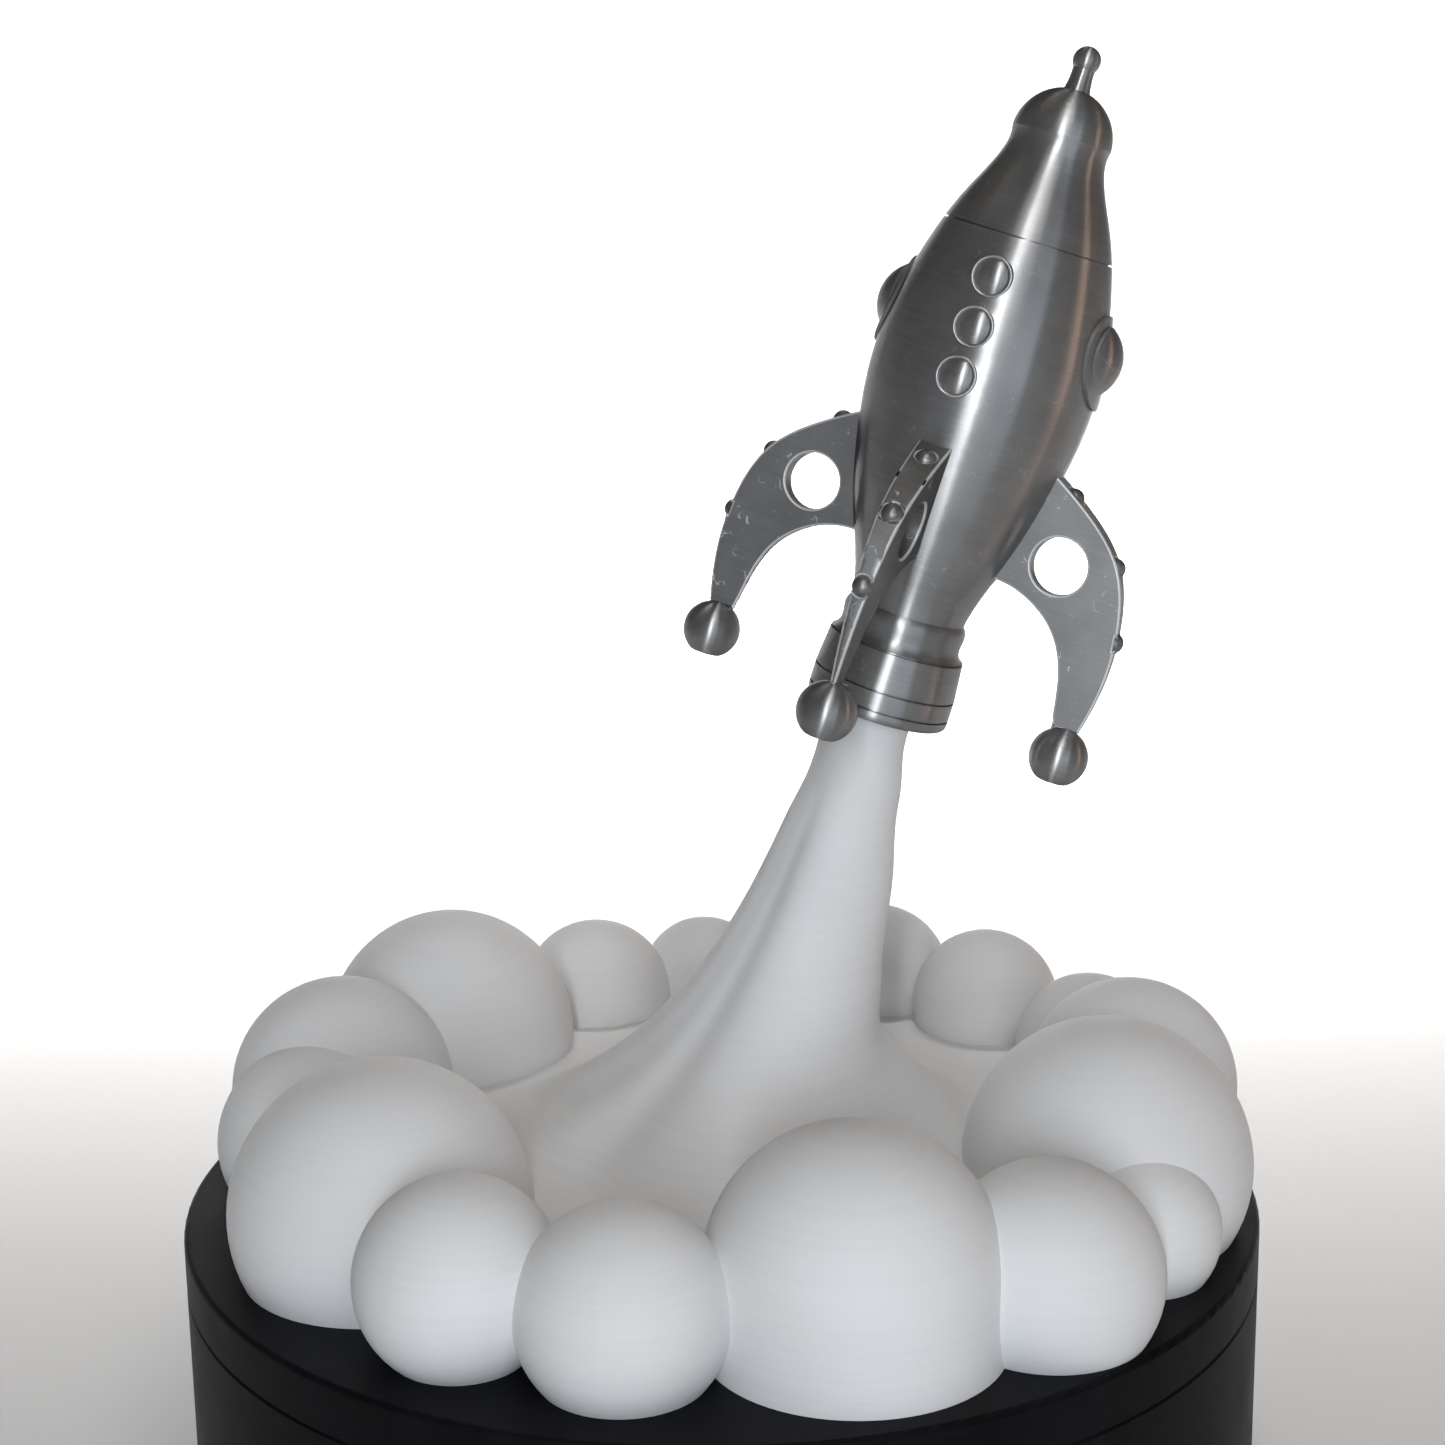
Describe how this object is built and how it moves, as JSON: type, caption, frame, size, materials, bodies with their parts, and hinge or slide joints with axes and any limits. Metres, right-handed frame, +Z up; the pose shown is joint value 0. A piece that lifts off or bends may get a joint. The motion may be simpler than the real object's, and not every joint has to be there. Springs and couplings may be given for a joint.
{
  "type": "model rocket",
  "caption": "Retro rocket with ball-footed fins, leaning on a smoke plume that rises from a ring of cloud puffs on a round black base.",
  "frame": {"origin": "centre of the base's underside", "axes": "+Z up; the rocket leans towards +X; the front of the model faces -Y"},
  "size_m": [0.2, 0.2, 0.2676],
  "materials": {
    "silver_print": "silk silver printed plastic with fine layer lines across the rocket's axis",
    "white_smoke": "matte white printed plastic with fine level layer lines",
    "black_base": "matte black, slightly mottled on the side",
    "screw_steel": "plain slotted screws",
    "grey_pin": "plain grey printed dowel"
  },
  "bodies": {
    "base": {"base_drum": "black_base", "base_floor": "black_base", "base_floor_screws": "screw_steel"},
    "deck": {"deck_plate": "black_base", "deck_locating_ring": "black_base", "cloud_front": "white_smoke", "cloud_back": "white_smoke", "smoke_plume": "white_smoke", "cloud_screws": "screw_steel", "plume_screws": "screw_steel"},
    "spigot_pin": {"spigot": "grey_pin"},
    "rocket": {"fin_front": "silver_print", "fin_right": "silver_print", "fin_back": "silver_print", "fin_left": "silver_print", "foot_front": "silver_print", "foot_right": "silver_print", "foot_back": "silver_print", "foot_left": "silver_print", "fin_rivets": "silver_print", "finial": "silver_print", "nose_cone": "silver_print", "nose_coupler": "silver_print", "hull_shell": "silver_print", "tail_collar": "silver_print", "nozzle_upper_ring": "silver_print", "nozzle_middle_ring": "silver_print", "nozzle_lip": "silver_print", "nozzle_sleeve": "silver_print", "small_porthole_rims": "silver_print", "small_porthole_domes": "silver_print", "large_porthole_rims": "silver_print", "large_porthole_domes": "silver_print"}
  },
  "joints": [
    {"name": "deck_lift", "type": "slide", "parent": "base", "child": "deck", "axis": [0, 0, 1], "range_m": [0, 0.04]},
    {"name": "rocket_turn", "type": "hinge", "parent": "deck", "child": "spigot_pin", "pos_m": [0.02905, 0, 0.15076], "axis": [0.3049, 0, 0.9524], "continuous": true},
    {"name": "rocket_lift", "type": "slide", "parent": "spigot_pin", "child": "rocket", "axis": [0.3049, 0, 0.9524], "range_m": [0, 0.03]}
  ]
}
